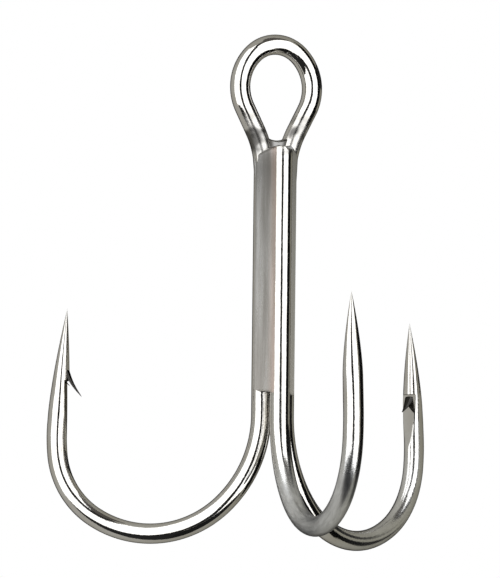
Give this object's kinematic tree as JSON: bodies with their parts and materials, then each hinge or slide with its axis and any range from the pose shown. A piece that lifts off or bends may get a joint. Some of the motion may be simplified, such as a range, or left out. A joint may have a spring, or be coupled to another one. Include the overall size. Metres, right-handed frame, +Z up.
{
  "type": "treble hook",
  "caption": "Treble fishing hook in bright plated steel wire, with a long brazed shank, a teardrop line eye, and barbed needle points curving up around it.",
  "frame": {"origin": "on the hook's own axis, between the three shanks, level with the widest part of the eye", "axes": "+Z up the shank towards the eye; +Y along the eye hole, so the eye lies in an XZ plane; the single hook points to -Y"},
  "size_m": [0.0398, 0.0347, 0.0503],
  "materials": {
    "plated_wire": "bright nickel plate on drawn high-carbon steel wire",
    "plated_braze": "satin grey plate over braze filler, warm where it is thin"
  },
  "bodies": {
    "root": {"double_hook": "plated_wire", "single_hook": "plated_wire", "rear_braze": "plated_braze", "left_braze": "plated_braze", "right_braze": "plated_braze"}
  },
  "joints": []
}
